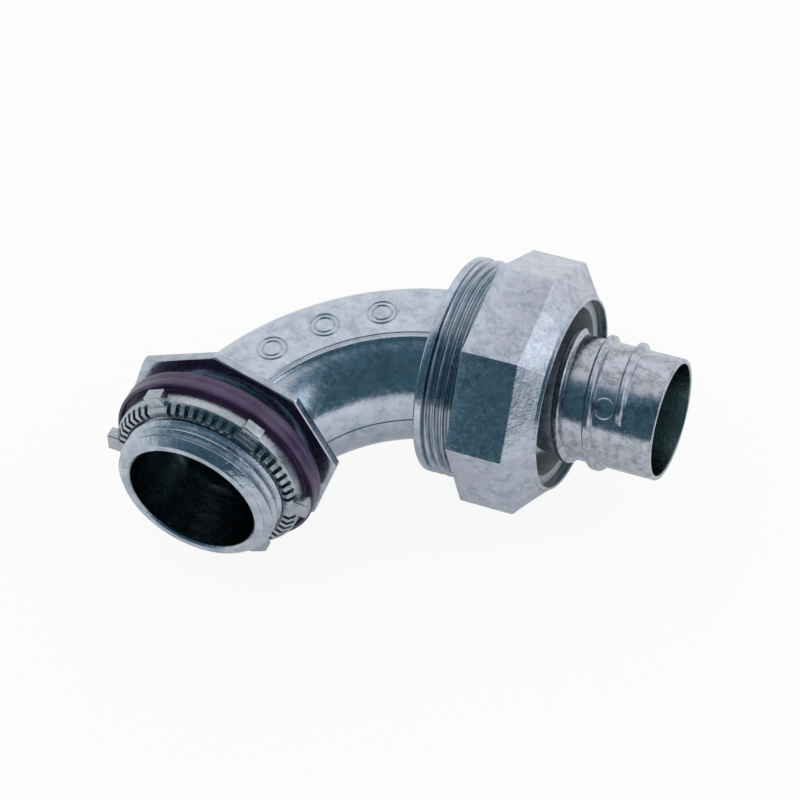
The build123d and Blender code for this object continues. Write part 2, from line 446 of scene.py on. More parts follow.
def finish_piece(piece, name, body, node, material):
    """Names the piece, smooths it, gives it its material and ties it to its body and node."""
    take(piece)
    piece.name = piece.data.name = name
    piece.data.materials.clear()
    piece.data.materials.append(material)
    bpy.ops.object.shade_smooth_by_angle(angle=radians(smooth_angle))
    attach(piece, body)
    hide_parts(node)
    return piece


# Finishes

class Number:
    """A socket that holds a number. Arithmetic on it adds Math nodes."""

    def __init__(self, tree, socket):
        self.tree = tree
        self.socket = socket

    def maths(self, operation, first, second):
        return self.tree.node("ShaderNodeMath", {"operation": operation}, {0: first, 1: second})

    def __add__(self, other):
        return self.maths("ADD", self, other)

    def __radd__(self, other):
        return self.maths("ADD", other, self)

    def __sub__(self, other):
        return self.maths("SUBTRACT", self, other)

    def __rsub__(self, other):
        return self.maths("SUBTRACT", other, self)

    def __mul__(self, other):
        return self.maths("MULTIPLY", self, other)

    def __rmul__(self, other):
        return self.maths("MULTIPLY", other, self)


class Tree:
    """The nodes of a material or of the world."""

    def __init__(self, owner):
        owner.use_nodes = True
        self.nodes = owner.node_tree.nodes
        self.links = owner.node_tree.links
        self.nodes.clear()

    def node(self, kind, settings=None, values=None, output=0):
        """Adds a node: its settings first, then the value or link of each socket."""
        made = self.nodes.new(kind)
        for setting, value in (settings or {}).items():
            setattr(made, setting, value)
        for key, value in (values or {}).items():
            if isinstance(value, Number):
                self.links.new(value.socket, made.inputs[key])
            else:
                made.inputs[key].default_value = value
        return Number(self, made.outputs[output]) if len(made.outputs) else None

    def mix(self, share, first, second):
        """A mix of two colours."""
        settings = {"data_type": "RGBA", "clamp_factor": True}
        return self.node("ShaderNodeMix", settings, {0: share, 6: first, 7: second}, output=2)

    def vectors(self, operation, first, second=(0, 0, 0), output=0):
        """A sum on one or two vectors."""
        return self.node("ShaderNodeVectorMath", {"operation": operation}, {0: first, 1: second}, output)

    def dot(self, vector, direction):
        """How far a vector reaches along a direction."""
        return self.vectors("DOT_PRODUCT", vector, direction, output=1)

    def ramp(self, value, low, high):
        """0 below low, 1 above high, and smooth between them."""
        settings = {"interpolation_type": "SMOOTHSTEP"}
        return self.node("ShaderNodeMapRange", settings, {0: value, 1: low, 2: high, 3: 0.0, 4: 1.0})

    def bump(self, height, strength, depth):
        """A bump whose height of 1 stands for depth millimetres."""
        values = {"Strength": strength, "Distance": depth * MM, "Height": height}
        return self.node("ShaderNodeBump", None, values)

    def place(self):
        """The place on the object, in metres."""
        return self.node("ShaderNodeTexCoord", output="Object")

    def along(self, axis):
        """How far the place lies along an axis through the origin, in millimetres."""
        return self.dot(self.place(), axis) * (1 / MM)

    def away(self, centre, axis):
        """How far the place is from an axis, in millimetres."""
        across = self.vectors("CROSS_PRODUCT", self.vectors("SUBTRACT", self.place(), at(centre)), axis)
        return self.vectors("LENGTH", across, output=1) * (1 / MM)

    def noise(self, size, detail=3.0, roughness=0.5, shift=0.0):
        """Noise whose blotches are about size millimetres across."""
        place = self.node("ShaderNodeMapping", None, {"Vector": self.place(), "Location": (shift,) * 3})
        values = {"Vector": place, "Scale": 1 / (size * MM), "Detail": detail, "Roughness": roughness}
        return self.node("ShaderNodeTexNoise", {"noise_dimensions": "3D"}, values)


def colour(red, green, blue):
    """A colour with full opacity."""
    return red, green, blue, 1.0


def surface(tree, shader_values):
    """The shader and the output."""
    shader = tree.node("ShaderNodeBsdfPrincipled", None, shader_values)
    tree.node("ShaderNodeOutputMaterial", None, {"Surface": shader})


# Zinc: sizes and depth of its grain in millimetres, and the colours of its specks and pits, and of the shade
# painted into its hollows
speck_size = 0.3
wave_size = 2.2
zinc_grain_depth = 0.05
speck_white = colour(0.86, 0.88, 0.92)
pit_dark = colour(0.12, 0.13, 0.15)
painted_shade_teal = colour(0.14, 0.22, 0.22)

# Plastic and rubber
plastic_cloud_size = 4.0
plastic_grain_size = 0.35
plastic_grain_depth = 0.03
dust_grey = colour(0.5, 0.5, 0.58)


def cast_zinc(name, light, dark, tint, gloss, painted_shade, worn=None, blotch=3.0, shift=0.0):
    """Die-cast zinc: blotched like the skin of a casting, with a fine grain and a few dark pits.
    Gloss is the roughness of its shiniest spots, and tint the colour that some blotches lean to.
    The shade mask says where shade is painted dark into the hollows, and worn where it is rougher, as a
    share."""
    material = bpy.data.materials.new(name)
    tree = Tree(material)
    clouds = tree.noise(blotch, detail=4.0, roughness=0.6, shift=shift)
    patches = tree.noise(blotch * 0.35, detail=4.0, roughness=0.7, shift=shift + 1)
    specks = tree.noise(speck_size, detail=2.0, shift=shift + 2)
    wave = tree.noise(wave_size, detail=2.0, shift=shift + 3)
    hue = tree.noise(blotch * 1.4, detail=3.0, shift=shift + 4)
    skin = tree.ramp(clouds * 0.55 + patches * 0.45, 0.38, 0.62)
    shade = tree.mix(skin, colour(*dark), colour(*light))
    shade = tree.mix(tree.ramp(hue, 0.42, 0.62) * 0.6, shade, colour(*tint))
    bright_speck = tree.ramp(specks, 0.62, 0.76)
    shade = tree.mix(bright_speck * 0.22, shade, speck_white)
    pit = 1 - tree.ramp(specks, 0.25, 0.36)
    shade = tree.mix(pit * 0.4, shade, pit_dark)
    # Shade painted dark teal into the hollows: the bores, thread roots and gaps that each piece's mask gives
    shade = tree.mix(painted_shade(tree) * 0.8, shade, painted_shade_teal)
    roughness = gloss + 0.12 * tree.ramp(patches, 0.35, 0.7) + 0.10 * pit
    height = specks * 0.35 + wave * 1.2 + patches * 0.5
    if worn:
        height = height + worn(tree) * (specks * 1.5 + patches * 3.5 + wave * 3.5)
    surface(tree, {
        "Base Color": shade,
        "Metallic": 1.0,
        "Roughness": roughness,
        "Normal": tree.bump(height, strength=0.5, depth=zinc_grain_depth),
    })
    return material


def moulded(name, base, sheen, roughness, shift=0.0):
    """A moulded plastic or rubber ring: nearly even, with a soft sheen and a faint grain."""
    material = bpy.data.materials.new(name)
    tree = Tree(material)
    clouds = tree.noise(plastic_cloud_size, detail=3.0, shift=shift)
    grain = tree.noise(plastic_grain_size, detail=2.0, shift=shift + 1)
    shade = tree.mix(tree.ramp(clouds, 0.35, 0.7), colour(*base), colour(*sheen))
    dust = tree.ramp(grain, 0.68, 0.8)
    shade = tree.mix(dust * 0.2, shade, dust_grey)
    surface(tree, {
        "Base Color": shade,
        "Roughness": roughness + 0.12 * clouds,
        "Normal": tree.bump(grain + clouds, strength=0.3, depth=plastic_grain_depth),
        "Specular IOR Level": 0.6,
    })
    return material


def about(tree, centre, axis):
    """How far the place is from an axis and along it, in millimetres."""
    return tree.away(centre, axis), tree.along(axis)


def casting_painted_shade(tree):
    """Painted shade in the hub's bore and the roots of both threads."""
    from_hub, along_hub = about(tree, hub_axis, hub_line)
    bore = 1 - tree.ramp(from_hub, hub_bore_radius + 0.06, hub_bore_radius + 0.2)
    bore = bore * (1 - tree.ramp(along_hub, 0, 1.5))
    root = 1 - tree.ramp(from_hub, hub_root_radius + 0.1, hub_root_radius + 0.7)
    root = root * tree.ramp(from_hub, hub_root_radius - 0.4, hub_root_radius - 0.2)
    first = hub_end_y + hub_lead_length
    root = root * tree.ramp(along_hub, first, first + 0.4) * (1 - tree.ramp(along_hub, -1, 0))
    from_conduit, along_conduit = about(tree, conduit_axis, conduit_line)
    groove = 1 - tree.ramp(from_conduit, collar_root_radius + 0.1, collar_root_radius + 0.6)
    groove = groove * tree.ramp(from_conduit, collar_root_radius - 0.4, collar_root_radius - 0.2)
    band = collar_back_x + collar_band_length
    groove = groove * tree.ramp(along_conduit, band, band + 0.3)
    groove = groove * (1 - tree.ramp(along_conduit, mouth_x - 1, mouth_x))
    return bore + root * 0.6 + groove * 0.7


def casting_worn(tree):
    """The hub, whose thread is rough."""
    return 1 - tree.ramp(tree.along(hub_line), -4, -2)


def ferrule_painted_shade(tree):
    """Painted shade in the ferrule's bore."""
    away = tree.away(conduit_axis, conduit_line)
    return 1 - tree.ramp(away, ferrule_bore_radius + 0.05, ferrule_bore_radius + 0.2)


def nut_painted_shade(tree):
    """Painted shade on the wall of the nut's mouth."""
    away = tree.away(conduit_axis, conduit_line)
    return 1 - tree.ramp(away, nut_mouth_radius + 0.05, nut_mouth_radius + 0.2)


def nut_front(tree):
    """The nut's front, whose skin is uneven."""
    corner_x = nut_back_x + nut_flat_length
    return tree.ramp(tree.along(conduit_line), corner_x, corner_x + 0.3)


def locknut_painted_shade(tree):
    """Painted shade in the gaps between the teeth."""
    away, along = about(tree, hub_axis, hub_line)
    floor_y = locknut_low.y + tooth_gap_depth
    gap = tree.ramp(along, floor_y - 1.0, floor_y - 0.2) * (1 - tree.ramp(along, floor_y, floor_y + 0.1))
    return gap * (1 - tree.ramp(away, locknut_radius - 0.5, locknut_radius - 0.3)) * 0.9


lavender = (0.57, 0.59, 0.69)
casting_zinc = cast_zinc(
    "casting_zinc",
    (0.54, 0.61, 0.70),
    (0.36, 0.42, 0.49),
    lavender,
    gloss=0.14,
    painted_shade=casting_painted_shade,
    worn=casting_worn,
    blotch=3.0,
)
nut_zinc = cast_zinc(
    "nut_zinc",
    (0.57, 0.63, 0.71),
    (0.35, 0.40, 0.48),
    (0.53, 0.54, 0.64),
    gloss=0.15,
    painted_shade=nut_painted_shade,
    worn=nut_front,
    blotch=2.2,
    shift=7.0,
)
locknut_zinc = cast_zinc(
    "locknut_zinc",
    (0.48, 0.54, 0.60),
    (0.32, 0.36, 0.40),
    (0.47, 0.49, 0.55),
    gloss=0.22,
    painted_shade=locknut_painted_shade,
    blotch=1.6,
    shift=11.0,
)
ferrule_zinc = cast_zinc(
    "ferrule_zinc",
    (0.50, 0.54, 0.60),
    (0.26, 0.29, 0.34),
    lavender,
    gloss=0.14,
    painted_shade=ferrule_painted_shade,
    blotch=1.5,
    shift=17.0,
)
seal_purple = moulded("seal_purple", (0.040, 0.022, 0.072), (0.068, 0.042, 0.115), roughness=0.26)
ring_grey = moulded("ring_grey", (0.42, 0.46, 0.50), (0.54, 0.58, 0.62), roughness=0.3, shift=5.0)


# Elbow body

def pad_section():
    """Outline of the bend's tube with its two pads, as (away from the bend's centre, Z)."""
    reach = tube_radius + pad_root_round
    root_out = pad_half_width + pad_root_round
    root_up = sqrt(reach * reach - root_out * root_out)
    root_angle = atan2(root_up, root_out)
    root = Vector((root_out, root_up))
    quarter = [Vector((tube_radius, parting_half_width))]
    arc_steps = 22
    first_angle = parting_half_width / tube_radius
    for step in range(1, arc_steps + 1):
        angle = first_angle + (root_angle - first_angle) * step / arc_steps
        quarter.append(Vector((cos(angle), sin(angle))) * tube_radius)
    for step in range(1, corner_steps + 1):
        angle = root_angle + pi + (pi - (root_angle + pi)) * step / corner_steps
        quarter.append(root + Vector((cos(angle), sin(angle))) * pad_root_round)
    edge = Vector((pad_half_width, pad_height)) - Vector((1, 1)) * pad_edge_round
    for step in range(corner_steps + 1):
        angle = pi / 2 * step / corner_steps
        quarter.append(edge + Vector((cos(angle), sin(angle))) * pad_edge_round)
    outer = Vector((tube_radius + parting_height, 0))
    right = [outer] + quarter
    upper = right + [Vector((-p.x, p.y)) for p in reversed(right)]
    return upper + [Vector((p.x, -p.y)) for p in reversed(upper[1:-1])]


def foot(piece, axis, outwards):
    """Flares the open rim in steps into a rounded foot, sinks it into what it stands on and closes it."""
    mesh = bmesh.from_edit_mesh(piece.data)
    rim = [v.co for v in mesh.verts if v.select]
    centre = sum(rim, Vector()) / len(rim)
    mean = sum((co - centre).length for co in rim) / len(rim) / MM
    flat = Vector((1, 1, 1)) - axis
    along_now, out_now = 0.0, 0.0
    stops = [pi / 2 * step / foot_steps for step in range(1, foot_steps + 1)]
    path = [(bend_foot_round * sin(angle), bend_foot_round * (1 - cos(angle))) for angle in stops]
    path.append((bend_foot_round + foot_sink, bend_foot_round + foot_sink))
    for along, out in path:
        grow = (mean + out) / (mean + out_now)
        bpy.ops.mesh.extrude_edges_move(
            TRANSFORM_OT_translate={"value": axis * outwards * (along - along_now) * MM}
        )
        bpy.ops.transform.resize(value=flat * grow + axis, center_override=centre)
        along_now, out_now = along, out
    bpy.ops.mesh.edge_face_add()


def bend():
    """The swept bend between the flange and the collar."""
    start = bend_centre - Vector((bend_radius, 0, 0))
    section = [start + Vector((-out, 0, up)) for out, up in pad_section()]
    piece = wire("bend", section)
    bpy.ops.mesh.select_all(action="SELECT")
    bpy.ops.mesh.spin(steps=bend_steps, angle=pi / 2, center=at(bend_centre), axis=(0, 0, 1))
    weld()
    for place, normal, outwards in (
        ((0, flange_thickness + bend_foot_round, 0), hub_line, -1),
        ((collar_back_x - bend_foot_round, 0, 0), conduit_line, 1),
    ):
        bpy.ops.mesh.select_all(action="SELECT")
        bpy.ops.mesh.bisect(
            plane_co=at(place),
            plane_no=normal,
            clear_inner=outwards < 0,
            clear_outer=outwards > 0,
            threshold=weld_distance * MM / 10,
        )
        level = at(place).dot(normal)
        choose(piece, "VERT", lambda vertex: abs(vertex.co.dot(normal) - level) < weld_distance * MM)
        foot(piece, normal, outwards)
    face_outwards()
    settle(piece)
    return piece


def flange():
    """The thin octagon, with rounded corners and softened edges."""
    corner = flange_across_flats / 2 / cos(pi / 8)
    piece = primitive(
        "flange",
        bpy.ops.mesh.primitive_cylinder_add,
        (0, flange_thickness / 2, 0),
        vertices=8,
        radius=corner * MM,
        depth=flange_thickness * MM,
        rotation=(pi / 2, 0, 0),
    )
    settle(piece)
    edit(piece, "EDGE")
    choose(piece, "EDGE", lambda edge: abs((edge.verts[0].co - edge.verts[1].co).y) > weld_distance * MM)
    corner_reach = flange_corner_round * tan(pi / 8) * MM
    bpy.ops.mesh.bevel(offset=corner_reach, segments=corner_steps, affect="EDGES")
    choose(piece, "FACE", lambda face: abs(face.normal.y) > 0.9)
    bpy.ops.mesh.region_to_loop()
    bpy.ops.mesh.bevel(offset=flange_edge_round * MM, segments=edge_segments, affect="EDGES")
    settle(piece)
    return piece


def thread_section(start, pitch, root, crest, crest_width):
    """Section of a thread's ridge, from the root before the crest to the root after it."""
    half_root = pitch * thread_root_share / 2
    half_crest = crest_width / 2
    flank = (crest - root) * thread_crest_round
    return [
        (start - half_root, root - thread_sunk),
        (start - half_crest - flank / 2, crest - flank),
        (start - half_crest + flank / 2, crest),
        (start + half_crest - flank / 2, crest),
        (start + half_crest + flank / 2, crest - flank),
        (start + half_root, root - thread_sunk),
    ]


def hub():
    """The hub: its core and thread, trimmed to the lead at its end."""
    inside_y = flange_thickness / 2
    lead_y = hub_end_y + hub_lead_length
    core = about_hub("hub", [
        (hub_end_y - cut_over, 0),
        (hub_end_y - cut_over, hub_root_radius),
        (inside_y, hub_root_radius),
        (inside_y, 0),
    ])
    start_y = hub_end_y - hub_thread_start
    ridge = helix(
        "hub_thread",
        thread_section(start_y, hub_pitch, hub_root_radius, hub_crest_radius, hub_crest_width),
        hub_axis,
        hub_line,
        radians(hub_thread_angle),
        hub_pitch,
        (inside_y - hub_pitch / 2 - start_y) / hub_pitch,
    )
    combine(core, ridge, "UNION")
    limit = about_hub("hub_limit", rounded([
        (hub_end_y, 0),
        (hub_end_y, hub_lip_radius, small_round),
        (lead_y, hub_crest_radius, edge_round),
        (inside_y, hub_crest_radius),
        (inside_y, 0),
    ]))
    combine(core, limit, "INTERSECT")
    return core


def collar():
    """The collar: its plain band, the relief behind the thread, and the thread on its core."""
    band_end = collar_back_x + collar_band_length
    core = about_conduit("collar", rounded([
        (collar_back_x, 0),
        (collar_back_x, collar_crest_radius, collar_edge_round),
        (band_end, collar_crest_radius, small_round),
        (band_end + collar_relief_length, collar_root_radius, collar_relief_round),
        (mouth_x, collar_root_radius, collar_mouth_round),
        (mouth_x, 0),
    ]))
    start_x = band_end + collar_thread_start
    ridge = helix(
        "collar_thread",
        thread_section(start_x, collar_pitch, collar_root_radius, collar_crest_radius, collar_crest_width),
        conduit_axis,
        conduit_line,
        radians(collar_thread_angle),
        collar_pitch,
        (mouth_x - collar_thread_end - start_x) / collar_pitch,
        fade_turns=collar_thread_fade,
        fade_depth=collar_crest_radius - collar_root_radius,
    )
    combine(core, ridge, "UNION")
    return core


def passage():
    """The hollow of the casting: hub bore, bend and a short straight into the throat."""
    start = bend_centre - Vector((bend_radius, 0, 0))
    steps = 96
    circle = [
        start + Vector((cos(2 * pi * step / steps), 0, sin(2 * pi * step / steps))) * hub_bore_radius
        for step in range(steps)
    ]
    piece = wire("passage", circle)
    bpy.ops.mesh.select_all(action="SELECT")
    bpy.ops.mesh.spin(steps=bend_steps, angle=pi / 2, center=at(bend_centre), axis=(0, 0, 1))
    weld()
    near = weld_distance * MM
    hub_stops = [
        (hub_end_y + hub_mouth_edge, 1),
        (hub_end_y - hub_mouth_over, hub_mouth_flare),
        (hub_end_y - cut_over, 1),
    ]
    ends = (
        (hub_line, start.y, hub_stops),
        (conduit_line, bend_centre.x, [(mouth_x - throat_depth + throat_overlap, 1)]),
    )
    for normal, level, stops in ends:
        choose(piece, "VERT", lambda vertex: abs(vertex.co.dot(normal) - level * MM) < near)
        middle = start if normal.y else Vector((bend_centre.x, conduit_y, 0))
        for stop, grow in stops:
            bpy.ops.mesh.extrude_edges_move(
                TRANSFORM_OT_translate={"value": normal * (stop - level) * MM}
            )
            flat = (Vector((1, 1, 1)) - normal) * grow + normal
            bpy.ops.transform.resize(value=flat, center_override=at(middle))
            level = stop
        bpy.ops.mesh.edge_face_add()
    face_outwards()
    settle(piece)
    return piece


def throat():
    """The wide hollow that holds the ferrule's base, opening as a cone at the mouth."""
    throat_x = mouth_x - throat_depth
    return about_conduit("throat", [
        (throat_x, 0),
        (throat_x, throat_radius),
        (mouth_x - mouth_bevel, throat_radius),
        (mouth_x + cut_over, throat_radius + mouth_bevel + cut_over),
        (mouth_x + cut_over, 0),
    ])


def blank_rings():
    """Pairs of raised rings on the upper pad, left blank."""
    rings = []
    for angle in mark_angles:
        out = Vector((-cos(radians(angle)), sin(radians(angle)), 0))
        middle = bend_centre + out * bend_radius + Vector((0, 0, pad_height))
        for number, radius in enumerate(mark_radii):
            ring = primitive(
                f"ring_{angle}_{number}",
                bpy.ops.mesh.primitive_torus_add,
                middle,
                major_radius=radius * MM,
                minor_radius=mark_line_radius * MM,
                major_segments=64,
                minor_segments=12,
            )
            ring.scale = (1, 1, mark_stretch)
            settle(ring)
            rings.append(ring)
    return rings


def elbow():
    """The whole casting."""
    body = bend()
    for other in (flange(), hub(), collar(), *blank_rings()):
        combine(body, other, "UNION")
    for hollow in (passage(), throat()):
        combine(body, hollow, "DIFFERENCE")
    return finish_piece(body, "elbow_casting", "elbow_body", "elbow_body", casting_zinc)


# Ferrule

def ferrule():
    """The thin tube with its base flange, the rib that screws into the conduit, and a round mark."""
    base_x, tip_x = ferrule_low.x, ferrule_high.x
    tube = about_conduit("tube", rounded([
        (base_x, ferrule_bore_radius),
        (base_x, ferrule_flange_radius, edge_round),
        (base_x + ferrule_flange_thickness, ferrule_flange_radius, edge_round),
        (base_x + ferrule_flange_thickness, ferrule_radius, ferrule_root_round),
        (tip_x, ferrule_radius, edge_round),
        (tip_x, ferrule_bore_radius, small_round),
    ]))
    half_base, half_top = rib_base_width / 2, rib_top_width / 2
    section = [
        (-half_base, ferrule_radius - rib_sunk),
        (-half_top - small_round, ferrule_radius + rib_height - small_round),
        (-half_top, ferrule_radius + rib_height),
        (half_top, ferrule_radius + rib_height),
        (half_top + small_round, ferrule_radius + rib_height - small_round),
        (half_base, ferrule_radius - rib_sunk),
    ]
    first = rib_end_x - rib_pitch * rib_turns
    ridge = helix(
        "rib",
        [(first + along, radius) for along, radius in section],
        conduit_axis,
        conduit_line,
        0.0,
        rib_pitch,
        rib_turns,
        fade_turns=rib_fade,
        fade_depth=rib_height * rib_fade_share,
    )
    combine(tube, ridge, "UNION")
    angle = radians(pin_mark_angle)
    out = Vector((0, cos(angle), sin(angle)))
    mark = primitive(
        "mark",
        bpy.ops.mesh.primitive_cylinder_add,
        Vector((pin_mark_x, conduit_y, 0)) + out * (pin_mark_floor + pin_length / 2),
        vertices=48,
        radius=pin_mark_radius * MM,
        depth=pin_length * MM,
        rotation=(angle - pi / 2, 0, 0),
    )
    settle(mark)
    combine(tube, mark, "DIFFERENCE")
    rim = primitive(
        "mark_rim",
        bpy.ops.mesh.primitive_torus_add,
        Vector((pin_mark_x, conduit_y, 0)) + out * pin_mark_rim_height,
        major_radius=pin_mark_radius * MM,
        minor_radius=pin_mark_line * MM,
        major_segments=48,
        minor_segments=8,
        rotation=(angle - pi / 2, 0, 0),
    )
    settle(rim)
    combine(tube, rim, "UNION")
    return finish_piece(tube, "ferrule_tube", "ferrule", "ferrule", ferrule_zinc)


# Gland nut

def nut_outline():
    """The octagon with rounded corners, as (angle from +Y towards +Z, radius) for each of its points."""
    half_side = pi / nut_sides
    edge = nut_flat_radius * tan(half_side)
    rounding_reach = nut_corner_round * tan(half_side)
    straight = [
        (edge - rounding_reach) * (2 * step / nut_side_points - 1)
        for step in range(nut_side_points + 1)
    ]
    side = [(atan2(along, nut_flat_radius), sqrt(along * along + nut_flat_radius ** 2)) for along in straight]
    corner_centre = (nut_flat_radius - nut_corner_round) / cos(half_side)
    for step in range(1, corner_steps):
        turn = half_side * (2 * step / corner_steps - 1)
        point = Vector((corner_centre + nut_corner_round * cos(turn), nut_corner_round * sin(turn)))
        side.append((half_side + atan2(point.y, point.x), point.length))
    first_middle = radians(nut_first_corner_angle) - half_side
    return [
        (first_middle + 2 * half_side * number + angle, radius)
        for number in range(nut_sides)
        for angle, radius in side
    ]


def nut():
    """The octagon, its front running from the eight sides to the round lip, and its turned inside."""
    outline = nut_outline()
    corner_x = nut_back_x + nut_flat_length
    dome_x = corner_x + nut_dome_length
    lip_radius = nut_mouth_radius + nut_lip_width
    shelf_x = nut_front_x - nut_lip_thickness
    pocket_x = shelf_x - nut_pocket_length
    axis, centre = conduit_line, conduit_axis

    def ring(x, radii):
        return [
            (x, conduit_y + cos(angle) * radius, sin(angle) * radius)
            for (angle, _), radius in zip(outline, radii)
        ]

    sides = wire("nut_sides", ring(nut_back_x, [radius for _, radius in outline]))
    bpy.ops.mesh.select_all(action="SELECT")
    bpy.ops.mesh.extrude_edges_move(TRANSFORM_OT_translate={"value": axis * nut_flat_length * MM})
    inside = wire("nut_inside", ring(dome_x, [lip_radius] * len(outline)))
    bpy.ops.mesh.select_all(action="SELECT")
    stops = rounded([
        (dome_x, lip_radius),
        (dome_x - nut_groove_depth, lip_radius - nut_lip_step, nut_groove_round),
        (nut_front_x, lip_radius - nut_lip_rise / 2, small_round),
        (nut_front_x, nut_mouth_radius, small_round),
        (shelf_x, nut_mouth_radius, fine_round),
        (shelf_x, nut_pocket_radius),
        (pocket_x, nut_pocket_radius),
        (pocket_x - nut_cone_length, nut_bore_radius),
        (nut_back_x + nut_bore_edge, nut_bore_radius),
        (nut_back_x, nut_bore_radius + nut_bore_edge),
    ])[1:]
    carry_on(axis, centre, stops, dome_x, lip_radius)
    piece = joined([sides, inside])
    edit(piece, "EDGE")
    near = weld_distance * MM

    def rim(levels):
        return lambda edge: edge.is_boundary and any(
            all(abs(vertex.co.x - level * MM) < near for vertex in edge.verts) for level in levels
        )

    for levels in ((corner_x, dome_x), (nut_back_x,)):
        choose(piece, "EDGE", rim(levels))
        bpy.ops.mesh.bridge_edge_loops()
    weld()
    face_outwards()
    least_out = (nut_flat_radius - nut_edge_round) * MM

    def on_sides(edge):
        first, second = (vertex.co for vertex in edge.verts)
        flat = abs(first.x - second.x) < near
        at_end = any(abs(first.x - level * MM) < near for level in (nut_back_x, corner_x))
        return flat and at_end and all((co - at(centre)).yz.length > least_out for co in (first, second))

    choose(piece, "EDGE", on_sides)
    bpy.ops.mesh.bevel(offset=nut_edge_round * MM, segments=edge_segments, affect="EDGES")
    settle(piece)
    return finish_piece(piece, "gland_nut_octagon", "gland_nut", "gland_nut", nut_zinc)


# Gland ring

def gland_ring():
    """The plastic ring that grips the conduit's jacket."""
    back_x, front_x = ring_low.x, ring_high.x
    ring = about_conduit("ring", rounded([
        (back_x, ring_bore_radius, soft_round),
        (back_x, ring_outer_radius - ring_bevel, small_round),
        (back_x + ring_bevel, ring_outer_radius, edge_round),
        (front_x, ring_outer_radius, small_round),
        (front_x, ring_bore_radius, ring_front_round),
    ]))
    return finish_piece(ring, "gland_ring_plastic", "gland_ring", "gland_ring", ring_grey)


# Sealing ring

def sealing_ring():
    """The dark purple ring, with its recess, its raised land and a fine moulding line round its band."""
    back_y, land_y = seal_high.y, seal_low.y
    floor_y = seal_front_y + seal_recess_depth
    rim_radius = seal_outer_radius - seal_rim_width
    land_radius = seal_bore_radius + seal_land_width
    middle_y = (back_y + seal_front_y) / 2
    ring = about_hub("seal", rounded([
        (back_y, seal_bore_radius, small_round),
        (back_y, seal_outer_radius, seal_back_round),
        (middle_y + seal_line_half_width, seal_outer_radius - seal_line_edge),
        (middle_y, seal_outer_radius - seal_line_depth),
        (middle_y - seal_line_half_width, seal_outer_radius - seal_line_edge),
        (seal_front_y, seal_outer_radius, edge_round),
        (seal_front_y, rim_radius, small_round),
        (floor_y, rim_radius, small_round),
        (floor_y, land_radius, small_round),
        (land_y, land_radius, soft_round),
        (land_y, seal_bore_radius, small_round),
    ]))
    return finish_piece(
        ring, "sealing_ring_rubber", "sealing_ring", "sealing_ring", seal_purple
    )


# Locknut

def block(name, angle, inner, outer, width, back_y, front_y, edge):
    """A small block that stands radially round the hub, with softened edges."""
    size = ((outer - inner) / 2, (back_y - front_y) / 2, width / 2)
    piece = primitive(
        name,
        bpy.ops.mesh.primitive_cube_add,
        (0, (back_y + front_y) / 2, (inner + outer) / 2),
        size=2 * MM,
        scale=(size[2], size[1], size[0]),
    )
    settle(piece)
    edit(piece, "EDGE")
    bpy.ops.mesh.bevel(offset=edge * MM, segments=edge_segments, affect="EDGES")
    piece.rotation_euler = (0, radians(angle), 0)
    settle(piece)
    return piece


def locknut():
    """The ring with lugs, and the teeth cut across its bevel between them."""
    back_y, front_y = locknut_high.y, locknut_low.y
    ring = about_hub("locknut", rounded([
        (back_y, seal_bore_radius + locknut_bore_edge),
        (back_y, locknut_radius, soft_round),
        (front_y + locknut_bevel_length, locknut_radius, small_round),
        (front_y, locknut_radius - locknut_bevel_depth, small_round),
        (front_y, seal_bore_radius + locknut_bore_edge, tiny_round),
        (front_y + locknut_bore_lead, seal_bore_radius),
        (back_y - locknut_bore_lead, seal_bore_radius),
    ]))
    cutters, lugs = [], []
    for lug in range(lug_count):
        lug_angle = first_lug_angle + 360 / lug_count * lug
        for tooth in range(teeth_per_sector):
            middle = 180 / lug_count + (tooth - (teeth_per_sector - 1) / 2) * tooth_pitch_angle
            cutters.append(block(
                f"gap_{lug}_{tooth}",
                lug_angle + middle,
                locknut_radius - 2 * locknut_bevel_depth,
                locknut_radius + cut_over,
                tooth_gap_width,
                front_y + tooth_gap_depth,
                front_y - cut_over,
                tooth_gap_edge,
            ))
        lugs.append(block(
            f"lug_{lug}",
            lug_angle,
            lug_inner_radius,
            lug_radius,
            lug_width,
            back_y - lug_setback,
            back_y - lug_setback - lug_thickness,
            edge_round,
        ))
    combine(ring, joined(cutters), "DIFFERENCE")
    combine(ring, joined(lugs), "UNION")
    return finish_piece(ring, "locknut_ring", "locknut", "locknut", locknut_zinc)


elbow()
ferrule()
nut()
gland_ring()
sealing_ring()
locknut()


# Floor, backdrop and light

object_centre = Vector((26, 24, 0))

# The world: its strength, and the dark end of the room that metal shows, with the height of its hill
# against its width and where its rim and its core fade
ambient = 0.75
room_azimuth = 24
room_squeeze = 0.75
room_front_fade = 0.2
room_rim = (0.80, 1.05)
room_core = (0.62, 0.85)
room_white = colour(1, 1, 1)
room_teal = colour(0.17, 0.33, 0.43)
room_dark = colour(0.066, 0.155, 0.195)

# The floor: its place and colour, how white the camera and metal see it, and how far out the shadow
# painted near the object for metal ends
floor_gap = 0.05
floor_size = 6.0
floor_colour = colour(0.93, 0.93, 0.94)
floor_to_camera = 0.9
floor_near_white = 0.25
floor_far_white = 0.8
floor_near = 60
floor_far = 190

# The camera
sensor_width = 36
lens = 117.54
camera_eye = Vector((197.37, -283.18, 380.25))
camera_aim = Vector((27.74, 20.35, 0))
camera_roll = -7.35


def seen(tree, camera, glossy):
    """How much of the plain white a ray sees: the camera and glass so much, and shiny metal so much."""
    share = {"Camera": camera, "Glossy": glossy, "Transmission": camera}
    paths = [tree.node("ShaderNodeLightPath", output=f"Is {ray} Ray") * share[ray] for ray in share]
    return paths[0] + paths[1] + paths[2]


